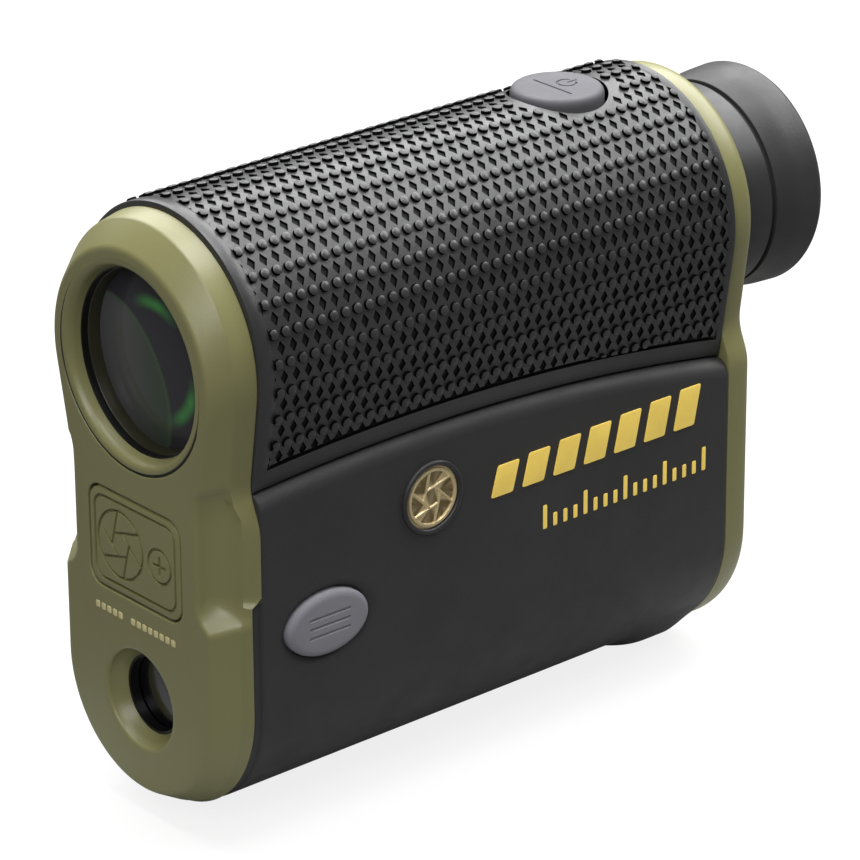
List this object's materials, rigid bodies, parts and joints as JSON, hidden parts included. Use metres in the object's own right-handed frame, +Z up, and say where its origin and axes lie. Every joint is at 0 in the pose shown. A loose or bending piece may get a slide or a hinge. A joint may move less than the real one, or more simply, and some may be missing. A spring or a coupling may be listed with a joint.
{
  "type": "laser rangefinder",
  "caption": "Pocket laser rangefinder: two-lobed armoured body with a monocular above a laser transmitter, turning eyepiece, press buttons and a battery cap.",
  "frame": {"origin": "centre of the bounding box's bottom face, under the middle of the body", "axes": "+Y from the objective to the eyepiece, +Z up, +X towards the side that carries the mode button"},
  "size_m": [0.0342, 0.0966, 0.075],
  "materials": {
    "olive_bezel": "satin moulded polymer with a fine spark texture",
    "grip_rubber": "matt moulded rubber with studs and diamond pits",
    "smooth_armour": "soft-touch matt",
    "chassis_alloy": "black-painted die casting",
    "black_anodised": "matt black anodised",
    "black_plastic": "satin black",
    "eyecup_rubber": "satin rubber",
    "seal_rubber": "smooth",
    "coated_glass": "green multi-coated",
    "clear_glass": "polished",
    "laser_window_glass": "polished near-infrared filter",
    "button_grey": "satin",
    "badge_gold": "brushed gold colour",
    "steel": "plain",
    "board_green": "solder mask",
    "electronics_black": "moulded package",
    "can_metal": "plated can",
    "battery_jacket": "printed sleeve, drawn plain"
  },
  "bodies": {
    "casing": {"badge_disc": "badge_gold", "badge_rim": "black_plastic", "battery": "battery_jacket", "battery_spring": "steel", "battery_tube": "black_plastic", "board_components": "electronics_black", "board_screws": "steel", "chassis": "chassis_alloy", "collar_nut": "black_anodised", "collimator_lens": "clear_glass", "display_module": "electronics_black", "eyepiece_collar": "black_plastic", "eyepiece_o_ring": "seal_rubber", "field_stop": "black_anodised", "front_bezel": "olive_bezel", "front_gasket": "seal_rubber", "front_inlay": "olive_bezel", "lanyard_bar": "steel", "laser_diode_module": "can_metal", "laser_o_ring": "seal_rubber", "laser_sleeve": "black_anodised", "laser_window": "laser_window_glass", "lower_armour": "smooth_armour", "main_board": "board_green", "mode_board": "board_green", "mode_seal": "seal_rubber", "mode_switch": "electronics_black", "objective_cell": "black_anodised", "objective_crown_lens": "coated_glass", "objective_flint_lens": "coated_glass", "objective_o_ring": "seal_rubber", "objective_retainer": "black_anodised", "objective_ring": "olive_bezel", "power_board": "board_green", "power_seal": "seal_rubber", "power_switch": "electronics_black", "prism_holder": "black_plastic", "rear_bezel": "olive_bezel", "rear_gasket": "seal_rubber", "rear_screws": "steel", "receiver_module": "can_metal", "roof_prism": "clear_glass", "splitter_prism": "clear_glass", "upper_armour": "grip_rubber"},
    "power_control": {"power_button": "button_grey", "power_plunger": "steel"},
    "mode_control": {"mode_button": "button_grey", "mode_plunger": "steel"},
    "focus": {"focus_ring": "black_plastic", "eyecup": "eyecup_rubber"},
    "ocular": {"ocular_cell": "black_anodised", "field_lens": "clear_glass", "eye_lens": "clear_glass", "ocular_retainer": "black_anodised"},
    "battery_door": {"battery_cap": "black_plastic", "cap_o_ring": "seal_rubber", "cap_contact": "steel", "tab_pin": "steel"},
    "door_tab": {"cap_tab": "black_plastic"}
  },
  "joints": [
    {"name": "power_press", "type": "slide", "parent": "casing", "child": "power_control", "axis": [0, 0, -1], "range_m": [0, 0.0008]},
    {"name": "mode_press", "type": "slide", "parent": "casing", "child": "mode_control", "axis": [-1, 0, 0], "range_m": [0, 0.0007]},
    {"name": "focus_turn", "type": "hinge", "parent": "casing", "child": "focus", "pos_m": [0, 0.04375, 0.0568], "axis": [0, 1, 0], "range_deg": [-120, 120]},
    {"name": "ocular_travel", "type": "slide", "parent": "casing", "child": "ocular", "axis": [0, 1, 0], "range_m": [-0.0008, 0.0008]},
    {"name": "cap_turn", "type": "hinge", "parent": "casing", "child": "battery_door", "pos_m": [0, 0.03375, 0.0238], "axis": [0, 1, 0], "range_deg": [0, 90]},
    {"name": "tab_fold", "type": "hinge", "parent": "battery_door", "child": "door_tab", "pos_m": [0, 0.0344, 0.0238], "axis": [1, 0, 0], "range_deg": [0, 90]}
  ],
  "couplings": [
    {"joint": "ocular_travel", "follows": "focus_turn", "m_per_rad": 0.00038193}
  ]
}
